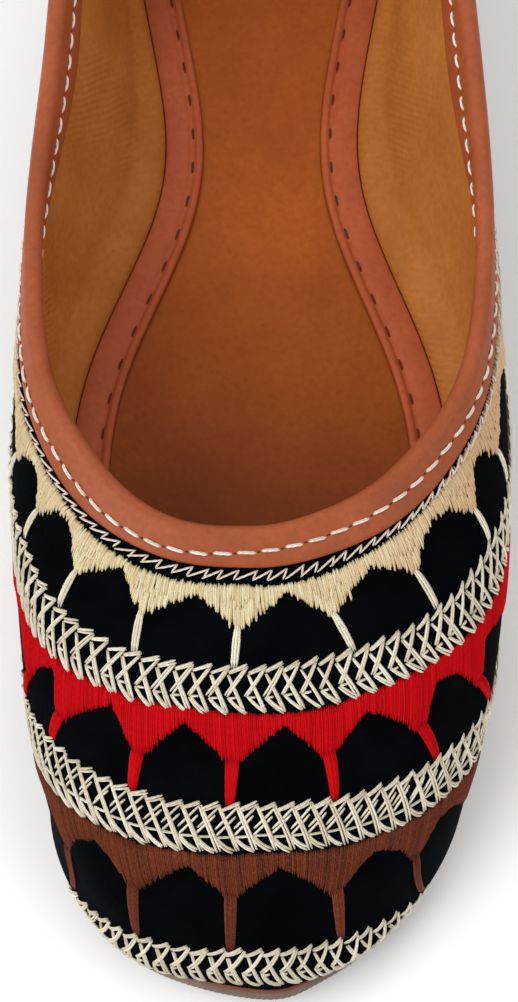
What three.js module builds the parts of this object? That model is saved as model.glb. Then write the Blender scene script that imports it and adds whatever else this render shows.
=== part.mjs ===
// A mojari shoe: a flat slip-on with a low, wide collar and a broad round toe, one shoe of a pair.
// Millimetres, +Z up, the floor at z = 0, toe towards -Y, heel towards +Y, the wearer's inner side at -X.
import * as THREE from "three";

// Driving dimensions
const SHOE_LENGTH = 248; // over the outsole
const SHOE_WIDTH = 84.5; // over the upper at the ball of the foot
const COLLAR_HEIGHT = 45; // lowest point of the collar over the floor
const WALL = 2; // velvet, leather and lining together
const OUTSOLE_THICKNESS = 3.5;
const MIDSOLE_THICKNESS = 1.2;
const INSOLE_THICKNESS = 2.8;
const STRIP_WIDTH = 6.7;
const STRIP_THICKNESS = 1.5;
const BINDING_WIDTH = 6; // of the binding on each side of the collar
const BINDING_THICKNESS = 0.8;
const OUTSOLE_MARGIN = 0.8; // outsole edge past the foot of the upper
const EDGE_EASE = 0.6; // rounding of the outsole's edges
const MIDSOLE_MARGIN = 0.3;
const TOE_SPRING = 5; // how far the toe tip of the sole is lifted off the floor
const TOE_BREAK = 27; // length of the lifted part of the sole, from the toe tip back
const CLEARANCE = 0.3; // between pieces that touch

// Worked out from them
const HALF_LENGTH = SHOE_LENGTH / 2 - OUTSOLE_MARGIN;
const HALF_WIDTH = SHOE_WIDTH / 2;
const MIDSOLE_BOTTOM = OUTSOLE_THICKNESS + CLEARANCE;
const UPPER_BOTTOM = MIDSOLE_BOTTOM + MIDSOLE_THICKNESS + CLEARANCE;
const INSOLE_TOP = UPPER_BOTTOM + INSOLE_THICKNESS;
const STRIP_BOTTOM = INSOLE_TOP + CLEARANCE;

// The last, from the toe tip (first row) to the middle of the heel (last row), a row for each station.
// footY and collarY are shares of the half length; footX, collarX, reach and the two swings are shares of
// the half width; collarZ and rise are shares of the collar height. lean, slope and twist are degrees.
// foot: where the upper meets the sole. collar: its top edge. The wall leaves the foot leaning outwards by
// lean and keeps that way for rise; it comes to the collar climbing at slope and keeps that way for reach.
// A swing moves both sides of a row sideways, and twist leans its left side out more and its right side less.
const COLUMNS = [
  "footY", "footX", "collarY", "collarX", "collarZ",
  "rise", "lean", "reach", "slope", "footSwing", "collarSwing", "twist",
];
const STATIONS = [
  [-1, 0, -0.453, 0, 1.044, 0.378, -18, 0.995, 16, 0.031, -0.077, 0],
  [-0.978, 0.249, -0.445, 0.211, 1.04, 0.378, -14, 0.947, 18, -0.036, -0.093, 6],
  [-0.913, 0.53, -0.401, 0.475, 1.029, 0.379, -2, 0.854, 24, -0.062, -0.064, 7],
  [-0.765, 0.784, -0.325, 0.688, 1.018, 0.374, 11, 0.64, 39, -0.029, -0.037, -3],
  [-0.572, 0.813, -0.214, 0.862, 1.007, 0.375, 23, 0.467, 57, 0.01, -0.021, -5],
  [-0.345, 0.852, -0.059, 0.925, 1, 0.354, 27, 0.346, 76, 0.007, -0.01, -4],
  [-0.085, 0.78, 0.095, 0.919, 1, 0.355, 33, 0.288, 97, 0, -0.001, -3],
  [0.17, 0.509, 0.276, 0.875, 1.018, 0.311, 34, 0.284, 113, 0.005, 0.006, 0],
  [0.396, 0.511, 0.468, 0.826, 1.056, 0.311, 26, 0.284, 106, 0, 0, 0],
  [0.645, 0.627, 0.657, 0.722, 1.122, 0.311, 14, 0.331, 97, 0, 0, 0],
  [0.831, 0.604, 0.812, 0.58, 1.2, 0.356, 10, 0.331, 88, 0, 0, 0],
  [0.956, 0.367, 0.909, 0.331, 1.267, 0.4, 8, 0.379, 84, 0, 0, 0],
  [1, 0, 0.942, 0, 1.289, 0.4, 8, 0.379, 83, 0, 0, 0],
];

// How finely the curved pieces are cut
const STEPS_PER_STATION = 3;
const WALL_ROWS = 12;

const SIDE_STATIONS = STATIONS.length - 1;
const RING_STATIONS = 2 * SIDE_STATIONS;
const RING_STEPS = RING_STATIONS * STEPS_PER_STATION;

// A smooth closed curve through values at 0, 1, 2 and so on: a periodic cubic spline.
function closedSpline(values) {
  const count = values.length;
  const at = (list, i) => list[(i + count) % count];
  const bends = new Array(count).fill(0);
  for (let sweep = 0; sweep < 30; sweep++) {
    for (let i = 0; i < count; i++) {
      const jump = at(values, i - 1) - 2 * values[i] + at(values, i + 1);
      bends[i] = (6 * jump - at(bends, i - 1) - at(bends, i + 1)) / 4;
    }
  }
  return (t) => {
    const i = Math.floor(t);
    const b = t - i;
    const a = 1 - b;
    const from = ((i % count) + count) % count;
    const to = (from + 1) % count;
    const bow = ((a ** 3 - a) * bends[from] + (b ** 3 - b) * bends[to]) / 6;
    return a * values[from] + b * values[to] + bow;
  };
}

// One column of the table right round the shoe: toe, right side, heel, left side.
// side(row, sign) gives the value of a row, with sign 1 on the right and -1 on the left.
function aroundShoe(side) {
  const rows = STATIONS.map((row) => Object.fromEntries(COLUMNS.map((name, i) => [name, row[i]])));
  const right = rows.map((row) => side(row, 1));
  const left = rows.slice(1, -1).reverse().map((row) => side(row, -1));
  return closedSpline([...right, ...left]);
}

const footX = aroundShoe((row, sign) => HALF_WIDTH * (sign * row.footX + row.footSwing));
const footY = aroundShoe((row) => HALF_LENGTH * row.footY);
const collarX = aroundShoe((row, sign) => HALF_WIDTH * (sign * row.collarX + row.collarSwing));
const collarY = aroundShoe((row) => HALF_LENGTH * row.collarY);
const collarZ = aroundShoe((row) => COLLAR_HEIGHT * row.collarZ);
const rise = aroundShoe((row) => COLLAR_HEIGHT * row.rise);
const lean = aroundShoe((row, sign) => row.lean - sign * row.twist);
const reach = aroundShoe((row) => HALF_WIDTH * row.reach);
const slope = aroundShoe((row) => row.slope);

// Height of the outsole's underside over the floor: flat, then curling up to the toe tip.
function bed(y) {
  const past = Math.max(0, TOE_BREAK - SHOE_LENGTH / 2 - y) / TOE_BREAK;
  return TOE_SPRING * past ** 2;
}

// The level direction that points out of a closed outline, square to it.
function outward(x, y, t) {
  const step = 0.01;
  const along = new THREE.Vector2(x(t + step) - x(t - step), y(t + step) - y(t - step)).normalize();
  return new THREE.Vector3(along.y, -along.x, 0);
}

const UP = new THREE.Vector3(0, 0, 1);

// The foot of the upper at ring position t, moved out by margin, at a height over the sole's underside.
function footPoint(t, margin, height) {
  const point = new THREE.Vector3(footX(t), footY(t), 0).addScaledVector(outward(footX, footY, t), margin);
  point.z = bed(point.y) + height;
  return point;
}

// The outside of the upper: t runs round the shoe, v from the foot (0) to the collar (1).
// Each line up the wall is a cubic Bezier curve.
function wallPoint(t, v) {
  const leanNow = THREE.MathUtils.degToRad(lean(t));
  const slopeNow = THREE.MathUtils.degToRad(slope(t));
  const foot = footPoint(t, 0, UPPER_BOTTOM);
  const collar = new THREE.Vector3(collarX(t), collarY(t), collarZ(t));
  const low = foot.clone()
    .addScaledVector(outward(footX, footY, t), rise(t) * Math.sin(leanNow))
    .addScaledVector(UP, rise(t) * Math.cos(leanNow));
  const high = collar.clone()
    .addScaledVector(outward(collarX, collarY, t), reach(t) * Math.cos(slopeNow))
    .addScaledVector(UP, -reach(t) * Math.sin(slopeNow));
  const u = 1 - v;
  return foot.multiplyScalar(u ** 3)
    .addScaledVector(low, 3 * u * u * v)
    .addScaledVector(high, 3 * u * v * v)
    .addScaledVector(collar, v ** 3);
}

// The way up the wall, and the direction out of it, at a point of the wall.
function wallFrame(t, v) {
  const step = 0.01;
  const around = wallPoint(t + step, v).sub(wallPoint(t - step, v));
  const up = wallPoint(t, v + step).sub(wallPoint(t, v - step)).normalize();
  return { up, out: around.cross(up).normalize() };
}

// A point at a distance out of the wall; its inside surface is at -WALL.
function wallLayer(t, v, distance) {
  return wallPoint(t, v).addScaledVector(wallFrame(t, v).out, distance);
}

// The share v of a point that lies a length down the wall from the collar.
function belowCollar(t, length) {
  const step = 0.005;
  let v = 1;
  let left = length;
  while (left > 0 && v > step) {
    const piece = wallPoint(t, v).distanceTo(wallPoint(t, v - step));
    v -= step * Math.min(1, left / piece);
    left -= piece;
  }
  return v;
}

// How far the inside of the wall, with the clearance, stands in from the foot line up to a height over it.
function insetInside(t, height) {
  const foot = footPoint(t, 0, UPPER_BOTTOM);
  const out = outward(footX, footY, t);
  const step = 0.01;
  let inset = (WALL + CLEARANCE) / Math.cos(THREE.MathUtils.degToRad(lean(t)));
  for (let v = step; v < 1; v += step) {
    const inside = wallLayer(t, v, -WALL - CLEARANCE);
    if (inside.z > foot.z + height) break;
    inset = Math.max(inset, foot.clone().sub(inside).dot(out));
  }
  return inset;
}

// Makes a closed mesh from its vertices and triangles.
function solid(name, vertices, triangles, look) {
  const geometry = new THREE.BufferGeometry();
  geometry.setAttribute("position", new THREE.Float32BufferAttribute(vertices.flatMap((p) => p.toArray()), 3));
  geometry.setIndex(triangles);
  geometry.computeVertexNormals();
  const mesh = new THREE.Mesh(geometry, new THREE.MeshStandardMaterial({ metalness: 0, ...look }));
  mesh.name = name;
  return mesh;
}

// Joins ring after ring of points by quads, the rings running round the shoe.
function ringQuads(first, second) {
  const triangles = [];
  for (let i = 0; i < RING_STEPS; i++) {
    const next = (i + 1) % RING_STEPS;
    triangles.push(first + i, first + next, second + next);
    triangles.push(first + i, second + next, second + i);
  }
  return triangles;
}

const ringPositions = Array.from({ length: RING_STEPS }, (_, i) => i / STEPS_PER_STATION);

// A piece that runs right round the shoe. section(t) gives its outline at t: up its outer side, over the
// top and down its inner side.
function hoop(name, section, look) {
  const sections = ringPositions.map(section);
  const count = sections[0].length;
  const vertices = [];
  for (let j = 0; j < count; j++) sections.forEach((outline) => vertices.push(outline[j]));
  const triangles = [];
  for (let j = 0; j < count; j++) {
    triangles.push(...ringQuads(j * RING_STEPS, ((j + 1) % count) * RING_STEPS));
  }
  return solid(name, vertices, triangles, look);
}

// A sole-shaped plate, built of levels from the bottom up. point(t, level) gives a level's outline.
function plate(name, levels, point, look) {
  const vertices = levels.flatMap((level) => ringPositions.map((t) => point(t, level)));
  const triangles = [];
  for (let j = 0; j + 1 < levels.length; j++) {
    triangles.push(...ringQuads(j * RING_STEPS, (j + 1) * RING_STEPS));
  }
  const top = (levels.length - 1) * RING_STEPS;
  for (let i = 0; i < RING_STEPS / 2; i++) {
    const [right, left] = [i, (RING_STEPS - i) % RING_STEPS];
    const [nextRight, nextLeft] = [i + 1, RING_STEPS - i - 1];
    if (nextRight !== nextLeft) {
      triangles.push(right, nextLeft, nextRight);
      triangles.push(top + right, top + nextRight, top + nextLeft);
    }
    if (right !== left) {
      triangles.push(right, left, nextLeft);
      triangles.push(top + right, top + nextLeft, top + left);
    }
  }
  return solid(name, vertices, triangles, look);
}

// Outsole: a flat leather plate with its edges eased, trimmed just past the upper.
const outsole = plate(
  "outsole",
  [
    { margin: OUTSOLE_MARGIN - EDGE_EASE, height: 0 },
    { margin: OUTSOLE_MARGIN, height: EDGE_EASE },
    { margin: OUTSOLE_MARGIN, height: OUTSOLE_THICKNESS - EDGE_EASE },
    { margin: OUTSOLE_MARGIN - EDGE_EASE / 2, height: OUTSOLE_THICKNESS },
  ],
  (t, level) => footPoint(t, level.margin, level.height),
  { color: 0x8a6f60, roughness: 0.85 },
);

// Midsole: a thin leather plate that the upper is stitched to.
const midsole = plate(
  "midsole",
  [
    { margin: MIDSOLE_MARGIN, height: MIDSOLE_BOTTOM },
    { margin: MIDSOLE_MARGIN, height: MIDSOLE_BOTTOM + MIDSOLE_THICKNESS },
  ],
  (t, level) => footPoint(t, level.margin, level.height),
  { color: 0xa4584a, roughness: 0.7 },
);

// Upper: one shell right round the shoe, its foot cut level with the top of the midsole.
function upperSection(t) {
  const outline = [];
  for (let j = 0; j <= WALL_ROWS; j++) outline.push(wallPoint(t, j / WALL_ROWS));
  for (let j = WALL_ROWS; j >= 0; j--) {
    const inside = wallLayer(t, j / WALL_ROWS, -WALL);
    const floor = bed(inside.y) + UPPER_BOTTOM;
    inside.z = j === 0 ? floor : Math.max(inside.z, floor + (j * WALL) / WALL_ROWS);
    outline.push(inside);
  }
  return outline;
}
const upper = hoop("upper", upperSection, { color: 0x0a0a14, roughness: 0.95 });

// Collar binding: a leather strip folded over the collar, lying on both sides of the wall.
function bindingSection(t) {
  const inner = CLEARANCE;
  const outer = CLEARANCE + BINDING_THICKNESS;
  const legs = [1, 0.67, 0.33, 0].map((share) => belowCollar(t, share * BINDING_WIDTH));
  const fold = [45, 90, 135].map((degrees) => THREE.MathUtils.degToRad(degrees));
  const { up, out } = wallFrame(t, 1);
  const middle = wallLayer(t, 1, -WALL / 2);
  const round = (angle, gap) => middle.clone()
    .addScaledVector(out, (WALL / 2 + gap) * Math.cos(angle))
    .addScaledVector(up, (WALL / 2 + gap) * Math.sin(angle));
  return [
    ...legs.map((v) => wallLayer(t, v, outer)),
    ...fold.map((angle) => round(angle, outer)),
    ...legs.toReversed().map((v) => wallLayer(t, v, -WALL - outer)),
    ...legs.map((v) => wallLayer(t, v, -WALL - inner)),
    ...fold.toReversed().map((angle) => round(angle, inner)),
    ...legs.toReversed().map((v) => wallLayer(t, v, inner)),
  ];
}
const collarBinding = hoop("collar_binding", bindingSection, { color: 0xb25834, roughness: 0.5 });

// Insole and its edge strip fill the foot of the upper from wall to wall.
const stripTop = STRIP_BOTTOM + STRIP_THICKNESS;
const insideInsets = new Map(ringPositions.map((t) => [t, insetInside(t, stripTop - UPPER_BOTTOM)]));
const insidePoint = (t, inset, height) => footPoint(t, -insideInsets.get(t) - inset, height);

const insole = plate(
  "insole",
  [{ height: UPPER_BOTTOM }, { height: INSOLE_TOP }],
  (t, level) => insidePoint(t, 0, level.height),
  { color: 0x964e1e, roughness: 0.65 },
);

// Insole edge strip: a broad rounded lobe along the wall, a groove, and a narrow bead along the footbed.
// across is a share of the strip's width, up a share of its thickness.
const STRIP_PROFILE = [
  { across: 0, up: 0 },
  { across: 0, up: 0.5 },
  { across: 0.12, up: 0.93 },
  { across: 0.45, up: 1 },
  { across: 0.64, up: 0.6 },
  { across: 0.78, up: 0.9 },
  { across: 0.93, up: 0.85 },
  { across: 1, up: 0.4 },
  { across: 1, up: 0 },
];
const insoleEdgeStrip = hoop(
  "insole_edge_strip",
  (t) => STRIP_PROFILE.map(({ across, up }) =>
    insidePoint(t, across * STRIP_WIDTH, STRIP_BOTTOM + up * STRIP_THICKNESS)),
  { color: 0xa55537, roughness: 0.6 },
);

const shoe = new THREE.Group();
shoe.add(outsole, midsole, upper, collarBinding, insole, insoleEdgeStrip);

export default shoe;
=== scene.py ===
# A mojari shoe: a flat slip-on of velvet and leather with three embroidered bands, standing on a floor.
# Lengths are millimetres until a mesh is made, and MM turns them into Blender's metres.
import math

import bmesh
import bpy
import numpy as np
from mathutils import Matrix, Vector


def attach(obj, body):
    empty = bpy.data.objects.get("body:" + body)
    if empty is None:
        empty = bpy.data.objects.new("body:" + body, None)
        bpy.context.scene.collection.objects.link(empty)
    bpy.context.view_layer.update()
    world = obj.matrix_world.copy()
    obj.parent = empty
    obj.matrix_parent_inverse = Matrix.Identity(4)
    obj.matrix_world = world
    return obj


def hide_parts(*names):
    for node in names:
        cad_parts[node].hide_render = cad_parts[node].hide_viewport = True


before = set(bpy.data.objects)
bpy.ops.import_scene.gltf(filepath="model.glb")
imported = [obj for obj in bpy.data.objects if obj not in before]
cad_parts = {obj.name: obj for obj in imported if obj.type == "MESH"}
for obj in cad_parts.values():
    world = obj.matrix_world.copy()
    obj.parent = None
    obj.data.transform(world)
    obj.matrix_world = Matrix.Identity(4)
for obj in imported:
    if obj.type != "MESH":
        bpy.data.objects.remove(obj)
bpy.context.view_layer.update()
MM = 0.001

# The last
# The wooden form that the shoe is closed over, nearly straight, with a toe that leans to the inner side.
# Every piece is laid on its surface. t runs round the shoe: 0 toe tip, 6 right side, 12 heel, 18 left side.
SHOE_LENGTH = 248.0
SHOE_WIDTH = 84.5
COLLAR_HEIGHT = 45.0
WALL = 2.0
OUTSOLE_THICKNESS = 3.5
MIDSOLE_THICKNESS = 1.2
OUTSOLE_MARGIN = 0.8
TOE_SPRING = 5.0
TOE_BREAK = 27.0
CLEARANCE = 0.3
HALF_LENGTH = SHOE_LENGTH / 2 - OUTSOLE_MARGIN
HALF_WIDTH = SHOE_WIDTH / 2
MIDSOLE_BOTTOM = OUTSOLE_THICKNESS + CLEARANCE
UPPER_BOTTOM = MIDSOLE_BOTTOM + MIDSOLE_THICKNESS + CLEARANCE

# For each station from toe to heel: shares of half length, half width and collar height, and degrees.
COLUMNS = ("foot_y", "foot_x", "collar_y", "collar_x", "collar_z", "rise", "lean", "reach", "slope",
           "foot_swing", "collar_swing", "twist")
STATIONS = [dict(zip(COLUMNS, row)) for row in (
    (-1, 0, -0.453, 0, 1.044, 0.378, -18, 0.995, 16, 0.031, -0.077, 0),
    (-0.978, 0.249, -0.445, 0.211, 1.04, 0.378, -14, 0.947, 18, -0.036, -0.093, 6),
    (-0.913, 0.53, -0.401, 0.475, 1.029, 0.379, -2, 0.854, 24, -0.062, -0.064, 7),
    (-0.765, 0.784, -0.325, 0.688, 1.018, 0.374, 11, 0.64, 39, -0.029, -0.037, -3),
    (-0.572, 0.813, -0.214, 0.862, 1.007, 0.375, 23, 0.467, 57, 0.01, -0.021, -5),
    (-0.345, 0.852, -0.059, 0.925, 1, 0.354, 27, 0.346, 76, 0.007, -0.01, -4),
    (-0.085, 0.78, 0.095, 0.919, 1, 0.355, 33, 0.288, 97, 0, -0.001, -3),
    (0.17, 0.509, 0.276, 0.875, 1.018, 0.311, 34, 0.284, 113, 0.005, 0.006, 0),
    (0.396, 0.511, 0.468, 0.826, 1.056, 0.311, 26, 0.284, 106, 0, 0, 0),
    (0.645, 0.627, 0.657, 0.722, 1.122, 0.311, 14, 0.331, 97, 0, 0, 0),
    (0.831, 0.604, 0.812, 0.58, 1.2, 0.356, 10, 0.331, 88, 0, 0, 0),
    (0.956, 0.367, 0.909, 0.331, 1.267, 0.4, 8, 0.379, 84, 0, 0, 0),
    (1, 0, 0.942, 0, 1.289, 0.4, 8, 0.379, 83, 0, 0, 0),
)]
RING = 2 * (len(STATIONS) - 1)


def closed_curve(values):
    """A smooth closed curve through values at ring positions 0, 1, 2 and so on."""
    values = np.array(values, float)
    count = len(values)
    follow = np.roll(np.eye(count), 1, axis=1)
    jumps = np.roll(values, 1) - 2 * values + np.roll(values, -1)
    bends = np.linalg.solve(4 * np.eye(count) + follow + follow.T, 6 * jumps)

    def at(t):
        whole = np.floor(t)
        b = t - whole
        a = 1 - b
        one = whole.astype(int) % count
        two = (one + 1) % count
        return a * values[one] + b * values[two] + ((a**3 - a) * bends[one] + (b**3 - b) * bends[two]) / 6

    return at


def round_shoe(side):
    """A closed curve of side(row, sign), with sign 1 on the right side of the shoe and -1 on the left."""
    right = [side(row, 1) for row in STATIONS]
    left = [side(row, -1) for row in STATIONS[-2:0:-1]]
    return closed_curve(right + left)


foot_x = round_shoe(lambda row, sign: HALF_WIDTH * (sign * row["foot_x"] + row["foot_swing"]))
foot_y = round_shoe(lambda row, sign: HALF_LENGTH * row["foot_y"])
collar_x = round_shoe(lambda row, sign: HALF_WIDTH * (sign * row["collar_x"] + row["collar_swing"]))
collar_y = round_shoe(lambda row, sign: HALF_LENGTH * row["collar_y"])
collar_z = round_shoe(lambda row, sign: COLLAR_HEIGHT * row["collar_z"])
rise = round_shoe(lambda row, sign: COLLAR_HEIGHT * row["rise"])
lean = round_shoe(lambda row, sign: math.radians(row["lean"] - sign * row["twist"]))
reach = round_shoe(lambda row, sign: HALF_WIDTH * row["reach"])
slope = round_shoe(lambda row, sign: math.radians(row["slope"]))


def bed(y):
    """Height of the sole's underside: flat, then curling up to the toe tip."""
    past = np.clip(TOE_BREAK - SHOE_LENGTH / 2 - y, 0, None) / TOE_BREAK
    return TOE_SPRING * past**2


def unit(vectors):
    return vectors / np.linalg.norm(vectors, axis=-1, keepdims=True)


def points(x, y, z):
    return np.stack(np.broadcast_arrays(x, y, z), axis=-1)


def outward(x, y, t):
    """The level direction out of a closed outline."""
    step = 0.01
    return unit(points(y(t + step) - y(t - step), x(t - step) - x(t + step), 0.0))


def sole_point(t, margin, height):
    """A point over the foot line moved out by margin, at a height over the sole's underside."""
    place = points(foot_x(t), foot_y(t), 0.0) + np.asarray(margin)[..., None] * outward(foot_x, foot_y, t)
    place[..., 2] = bed(place[..., 1]) + height
    return place


def wall_point(t, v):
    """The outside of the upper, from the foot at v = 0 to the collar at v = 1."""
    t, v = np.broadcast_arrays(np.asarray(t, float), np.asarray(v, float))
    low_out = outward(foot_x, foot_y, t) * np.sin(lean(t))[..., None]
    low_out[..., 2] = np.cos(lean(t))
    high_out = outward(collar_x, collar_y, t) * np.cos(slope(t))[..., None]
    high_out[..., 2] = -np.sin(slope(t))
    foot = points(foot_x(t), foot_y(t), bed(foot_y(t)) + UPPER_BOTTOM)
    collar = points(collar_x(t), collar_y(t), collar_z(t))
    low = foot + rise(t)[..., None] * low_out
    high = collar + reach(t)[..., None] * high_out
    v = v[..., None]
    u = 1 - v
    return foot * u**3 + 3 * low * u * u * v + 3 * high * u * v * v + collar * v**3


def wall_up(t, v):
    step = 0.01
    return unit(wall_point(t, v + step) - wall_point(t, v - step))


def wall_out(t, v):
    step = 0.01
    return unit(np.cross(wall_point(t + step, v) - wall_point(t - step, v), wall_up(t, v)))


def layer(t, v, distance):
    """A point at a distance out of the upper's outside; its inside surface is at -WALL."""
    return wall_point(t, v) + np.asarray(distance)[..., None] * wall_out(t, v)


# How far each point of the wall lies below the collar, measured down the wall.
GRID_STEPS = 12
ring_grid = np.linspace(0, RING, RING * GRID_STEPS + 1)
wall_grid = np.linspace(0, 1, 241)
below_grid = np.linspace(0, 100, 401)
wall_lines = wall_point(ring_grid[:, None], wall_grid[None, :])
wall_steps = np.linalg.norm(np.diff(wall_lines, axis=1), axis=-1)
wall_lengths = wall_steps.sum(axis=1)
fall = np.concatenate([np.zeros((len(ring_grid), 1)), np.cumsum(wall_steps[:, ::-1], axis=1)], axis=1)
share_grid = np.array([np.interp(below_grid, line, wall_grid[::-1]) for line in fall])


def wall_share(t, below):
    """The share v of a point a length below the collar."""
    ring = np.mod(t, RING) * GRID_STEPS
    row = np.minimum(ring.astype(int), len(ring_grid) - 2)
    column_place = np.clip(below, 0, below_grid[-1] - 0.001) / (below_grid[1] - below_grid[0])
    column = column_place.astype(int)
    a = ring - row
    b = column_place - column
    near = share_grid[row, column] * (1 - b) + share_grid[row, column + 1] * b
    far = share_grid[row + 1, column] * (1 - b) + share_grid[row + 1, column + 1] * b
    return near * (1 - a) + far * a


def wall_length(t):
    return np.interp(np.mod(t, RING), ring_grid, wall_lengths)


def put(name, data):
    """A new object of this mesh, light or camera, put in the scene."""
    made = bpy.data.objects.new(name, data)
    bpy.context.collection.objects.link(made)
    return made


def formed(name, around, across, form):
    """A grid of quads bent by form(u, v) into a closed shape, with its seams merged."""
    sheet = bmesh.new()
    bmesh.ops.create_grid(sheet, x_segments=around, y_segments=across, size=0.5)
    flat = np.array([vert.co[:] for vert in sheet.verts]) + 0.5
    shaped = form(flat[:, 0].clip(0, 1), flat[:, 1].clip(0, 1)) * MM
    for vert, place in zip(sheet.verts, shaped.tolist()):
        vert.co = place
    bmesh.ops.remove_doubles(sheet, verts=sheet.verts, dist=0.002 * MM)
    bmesh.ops.dissolve_degenerate(sheet, edges=sheet.edges, dist=0.001 * MM)
    bmesh.ops.recalc_face_normals(sheet, faces=sheet.faces)
    for face in sheet.faces:
        face.smooth = True
    mesh = bpy.data.meshes.new(name)
    sheet.to_mesh(mesh)
    sheet.free()
    return put(name, mesh)


class Number:
    """An output of a shader node that adds Math nodes when it is used in an expression."""

    def __init__(self, finish, socket):
        self.finish = finish
        self.socket = socket

    def maths(self, operation, *values):
        return self.finish.node("ShaderNodeMath", {"operation": operation}, dict(enumerate(values)))

    def __add__(self, other):
        return self.maths("ADD", self, other)

    def __sub__(self, other):
        return self.maths("SUBTRACT", self, other)

    def __rsub__(self, other):
        return self.maths("SUBTRACT", other, self)

    def __mul__(self, other):
        return self.maths("MULTIPLY", self, other)

    __radd__ = __add__
    __rmul__ = __mul__

    def sine(self):
        return self.maths("SINE", self)

    def ramp(self, *stops):
        """A colour or grey for this number, through stops of (place, colour)."""
        return self.finish.node("ShaderNodeValToRGB", {"stops": stops}, {"Fac": self})

    def rising(self, low, high, top=1.0):
        """A grey that rises from 0 at low to top at high."""
        return self.ramp((low, (0, 0, 0)), (high, (top, top, top)))

    def falling(self, low, high):
        """A grey that falls from 1 at low to 0 at high."""
        return self.ramp((low, (1, 1, 1)), (high, (0, 0, 0)))


class Finish:
    """A material with one Principled shader, built node by node."""

    def __init__(self, name, **constants):
        self.material = bpy.data.materials.new(name)
        self.material.use_nodes = True
        self.tree = self.material.node_tree
        self.shader = self.tree.nodes["Principled BSDF"]
        for socket, value in constants.items():
            self.shader.inputs[socket.replace("_", " ")].default_value = value

    def node(self, kind, settings=None, inputs=None, output=0):
        made = self.tree.nodes.new(kind)
        for name, value in (settings or {}).items():
            if name == "stops":
                ramp = made.color_ramp
                while len(ramp.elements) < len(value):
                    ramp.elements.new(0.5)
                for element, (place, colour) in zip(ramp.elements, value):
                    element.position = place
                    element.color = (*colour, 1)
            else:
                setattr(made, name, value)
        for name, value in (inputs or {}).items():
            self.feed(made.inputs[name], value)
        return Number(self, made.outputs[output])

    def feed(self, socket, value):
        if isinstance(value, Number):
            self.tree.links.new(value.socket, socket)
        elif isinstance(value, tuple) and len(value) == 3 and socket.type == "RGBA":
            socket.default_value = (*value, 1)
        else:
            socket.default_value = value

    def set(self, **values):
        for name, value in values.items():
            self.feed(self.shader.inputs[name.replace("_", " ")], value)

    def place(self):
        return self.node("ShaderNodeTexCoord", output="Object")

    def part(self, vector, number):
        return self.node("ShaderNodeSeparateXYZ", inputs={0: vector}, output=number)

    def attribute(self, name):
        return self.node("ShaderNodeAttribute", {"attribute_name": name}, output="Fac")

    def noise(self, scale, detail=3.0, roughness=0.5):
        inputs = {"Vector": self.place(), "Scale": scale, "Detail": detail, "Roughness": roughness}
        return self.node("ShaderNodeTexNoise", inputs=inputs)

    def cells(self, scale):
        return self.node("ShaderNodeTexVoronoi", inputs={"Vector": self.place(), "Scale": scale})

    def mix(self, share, one, two):
        """A colour between two; the numbers are the Mix node's sockets for colours."""
        return self.node("ShaderNodeMix", {"data_type": "RGBA"}, {0: share, 6: one, 7: two}, output=2)

    def bump(self, height, distance):
        inputs = {"Height": height, "Distance": distance * MM, "Strength": 1.0}
        return self.node("ShaderNodeBump", inputs=inputs)


def leather(name, deep, light, roughness, grain=0.04, pores=900.0, mottle=60.0, gloss=0.2):
    """Smooth dyed leather: a mottled colour, fine pores and grain, and roughness that follows them."""
    finish = Finish(name, Specular_IOR_Level=gloss)
    clouds = finish.noise(mottle, 5.0, 0.6)
    speck = finish.noise(mottle * 14, 3.0, 0.6)
    colour = finish.mix(clouds.rising(0.32, 0.68), deep, light)
    finish.colour = finish.mix(speck * speck * 0.75, colour, tuple(0.5 * c for c in deep))
    pore = finish.cells(pores).rising(0.0, 0.5)
    fold = finish.noise(mottle * 5, 4.0, 0.6)
    finish.height = pore * 0.4 + fold * 0.6
    finish.set(Base_Color=finish.colour, Roughness=clouds * 0.12 + speck * 0.1 + (roughness - 0.1),
               Normal=finish.bump(finish.height, grain))
    return finish


def seat(piece, finish, slot, *nodes):
    """Gives a piece its material and its place, and hides the plain solids that it stands for."""
    piece.data.materials.append(finish.material)
    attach(piece, "root")
    if nodes:
        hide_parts(*nodes)


# Outsole
# A plate of vegetable-tanned sole leather, cut with a knife, its edge left raw and faintly ribbed by the
# awl's stitches. It lies flat on the floor and curls up a little at the toe.
EDGE_EASE = 0.6
RIB_PITCH = 1.0
RIB_DEPTH = 0.09
FACE_SHARE = 0.38


def run_along(track):
    """The length along a line of points, from 0 at its first point."""
    return np.concatenate([[0], np.cumsum(np.linalg.norm(np.diff(track, axis=0), axis=-1))])


foot_run = run_along(sole_point(ring_grid, np.zeros_like(ring_grid), 0.0))


def plate(t, v, edge):
    """A sole-shaped plate. v goes from the middle of its underside over the edge to the middle of its
    top, and edge(t, w) gives the margin and height of the edge for w from 0 to 1. FACE_SHARE of v
    goes to each face."""
    w = np.clip((v - FACE_SHARE) / (1 - 2 * FACE_SHARE), 0, 1)
    margin, height = edge(t, w)
    rim = sole_point(t, margin, height)
    other = sole_point(RING - t, edge(RING - t, w)[0], height)
    middle = (rim + other) / 2
    share = np.where(v < 0.5, np.clip(v / FACE_SHARE, 0, 1), np.clip((1 - v) / FACE_SHARE, 0, 1))
    place = middle + (rim - middle) * share[:, None]
    place[:, 2] = bed(place[:, 1]) + height
    return place


def outsole_edge(t, w):
    off_middle = np.abs(2 * w - 1)
    ease = EDGE_EASE * np.clip(off_middle * 3 - 2, 0, 1) ** 2
    run = np.interp(np.mod(t, RING), ring_grid, foot_run)
    ribs = RIB_DEPTH * np.sin(2 * math.pi * run / RIB_PITCH) * (1 - off_middle)
    return OUTSOLE_MARGIN - ease + ribs, OUTSOLE_THICKNESS * w


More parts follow.
